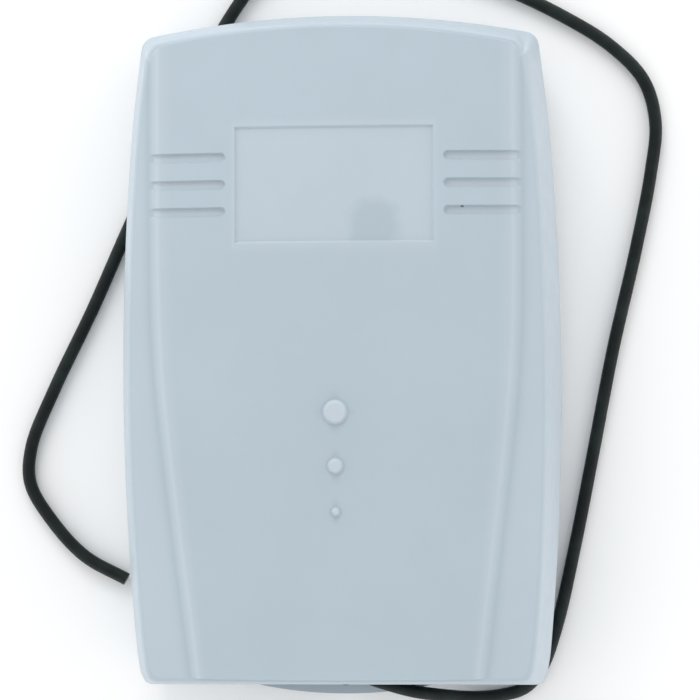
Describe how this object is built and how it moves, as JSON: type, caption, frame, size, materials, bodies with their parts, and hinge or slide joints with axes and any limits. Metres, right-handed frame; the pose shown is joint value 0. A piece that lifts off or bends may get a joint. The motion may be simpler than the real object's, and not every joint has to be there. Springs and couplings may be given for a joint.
{
  "type": "garage door opener receiver",
  "caption": "Wall-mounted radio receiver box of a garage door opener: two-part moulded case with an arched top, circuit board, relay and screw terminals inside, and one thin black lead.",
  "frame": {"origin": "middle of the base of the box on the plane its rear feet and lug stand on, the lead left out", "axes": "+Z out of the front cover, +Y to the arched end (the top when hung on a wall), +X to the right seen from the front"},
  "size_m": [0.132, 0.1552, 0.0346],
  "materials": {
    "cover_plastic": "fine spark-eroded satin, pale blue-grey",
    "housing_plastic": "fine satin, slightly darker blue-grey",
    "black_plastic": "satin moulded",
    "black_rubber": "soft satin",
    "lead_jacket": "smooth extruded jacket, satin",
    "board_green": "solder-masked fibreglass board",
    "radio_board_blue": "solder-masked fibreglass board",
    "terminal_green": "satin nylon",
    "switch_red": "satin",
    "slider_white": "satin",
    "lamp_red": "clear tinted epoxy",
    "clear_plastic": "clear moulded, polished",
    "fuse_glass": "clear drawn glass",
    "bright_steel": "zinc plated",
    "tin_can": "tin plated, satin",
    "spring_brass": "bright",
    "coil_copper": "enamelled copper wire",
    "resistor_tan": "glazed"
  },
  "bodies": {
    "housing": {"rear_housing": "housing_plastic", "cover_screw_1": "bright_steel", "cover_screw_2": "bright_steel", "cover_screw_3": "bright_steel", "cover_screw_4": "bright_steel", "board_screw_1": "bright_steel", "board_screw_2": "bright_steel", "board_screw_3": "bright_steel", "board_screw_4": "bright_steel", "circuit_board": "board_green", "relay_base": "black_plastic", "relay_case": "clear_plastic", "relay_coil": "coil_copper", "relay_yoke": "bright_steel", "terminal_block": "terminal_green", "fuse_tube": "fuse_glass", "fuse_cap_1": "bright_steel", "fuse_cap_2": "bright_steel", "fuse_clip_1": "spring_brass", "fuse_clip_2": "spring_brass", "dip_switch": "switch_red", "learn_switch": "black_plastic", "learn_lamp": "lamp_red", "bridge_rectifier": "black_plastic", "large_capacitor": "black_plastic", "small_capacitor": "black_plastic", "voltage_regulator": "black_plastic", "resistor_1": "resistor_tan", "resistor_2": "resistor_tan", "flyback_diode": "black_plastic", "microcontroller": "black_plastic", "crystal": "tin_can", "radio_board": "radio_board_blue", "radio_header_1": "black_plastic", "radio_header_2": "black_plastic", "radio_can": "tin_can", "radio_coil": "coil_copper", "lead_grommet": "black_rubber", "lead_tail": "lead_jacket", "aerial_lead": "lead_jacket"},
    "cover": {"front_cover": "cover_plastic"},
    "armature": {"relay_armature": "bright_steel"},
    "learn_button": {"learn_plunger": "switch_red"},
    "dip_1": {"dip_slider_1": "slider_white"},
    "dip_2": {"dip_slider_2": "slider_white"},
    "dip_3": {"dip_slider_3": "slider_white"},
    "dip_4": {"dip_slider_4": "slider_white"},
    "clamp_screw_1": {"terminal_screw_1": "bright_steel"},
    "clamp_screw_2": {"terminal_screw_2": "bright_steel"},
    "clamp_screw_3": {"terminal_screw_3": "bright_steel"},
    "clamp_screw_4": {"terminal_screw_4": "bright_steel"},
    "clamp_1": {"terminal_clamp_1": "spring_brass"},
    "clamp_2": {"terminal_clamp_2": "spring_brass"},
    "clamp_3": {"terminal_clamp_3": "spring_brass"},
    "clamp_4": {"terminal_clamp_4": "spring_brass"}
  },
  "joints": [
    {"name": "cover_lift", "type": "slide", "parent": "housing", "child": "cover", "axis": [0, 0, 1], "range_m": [0, 0.06]},
    {"name": "learn_press", "type": "slide", "parent": "housing", "child": "learn_button", "axis": [0, 0, -1], "range_m": [0, 0.0003], "stiffness_N_per_m": 3000, "springref_m": -0.0003},
    {"name": "armature_pull", "type": "hinge", "parent": "housing", "child": "armature", "pos_m": [-0.021, -0.00835, 0.0223], "axis": [1, 0, 0], "range_deg": [0, 3.4], "stiffness_Nm_per_rad": 0.02, "springref_deg": -8.59},
    {"name": "clamp_screw_1_turn", "type": "hinge", "parent": "housing", "child": "clamp_screw_1", "pos_m": [-0.0215, -0.03775, 0.0194], "axis": [0, 0, -1], "range_deg": [0, 1200]},
    {"name": "clamp_1_rise", "type": "slide", "parent": "housing", "child": "clamp_1", "axis": [0, 0, 1], "range_m": [0, 0.00166]},
    {"name": "clamp_screw_2_turn", "type": "hinge", "parent": "housing", "child": "clamp_screw_2", "pos_m": [-0.0165, -0.03775, 0.0194], "axis": [0, 0, -1], "range_deg": [0, 1200]},
    {"name": "clamp_2_rise", "type": "slide", "parent": "housing", "child": "clamp_2", "axis": [0, 0, 1], "range_m": [0, 0.00166]},
    {"name": "clamp_screw_3_turn", "type": "hinge", "parent": "housing", "child": "clamp_screw_3", "pos_m": [-0.0115, -0.03775, 0.0194], "axis": [0, 0, -1], "range_deg": [0, 1200]},
    {"name": "clamp_3_rise", "type": "slide", "parent": "housing", "child": "clamp_3", "axis": [0, 0, 1], "range_m": [0, 0.00166]},
    {"name": "clamp_screw_4_turn", "type": "hinge", "parent": "housing", "child": "clamp_screw_4", "pos_m": [-0.0065, -0.03775, 0.0194], "axis": [0, 0, -1], "range_deg": [0, 1200]},
    {"name": "clamp_4_rise", "type": "slide", "parent": "housing", "child": "clamp_4", "axis": [0, 0, 1], "range_m": [0, 0.00166]},
    {"name": "dip_1_slide", "type": "slide", "parent": "housing", "child": "dip_1", "axis": [0, 1, 0], "range_m": [0, 0.0022]},
    {"name": "dip_2_slide", "type": "slide", "parent": "housing", "child": "dip_2", "axis": [0, 1, 0], "range_m": [0, 0.0022]},
    {"name": "dip_3_slide", "type": "slide", "parent": "housing", "child": "dip_3", "axis": [0, 1, 0], "range_m": [0, 0.0022]},
    {"name": "dip_4_slide", "type": "slide", "parent": "housing", "child": "dip_4", "axis": [0, 1, 0], "range_m": [0, 0.0022]}
  ],
  "couplings": [
    {"joint": "clamp_screw_1_turn", "follows": "clamp_1_rise", "rad_per_m": 12566},
    {"joint": "clamp_screw_2_turn", "follows": "clamp_2_rise", "rad_per_m": 12566},
    {"joint": "clamp_screw_3_turn", "follows": "clamp_3_rise", "rad_per_m": 12566},
    {"joint": "clamp_screw_4_turn", "follows": "clamp_4_rise", "rad_per_m": 12566}
  ]
}
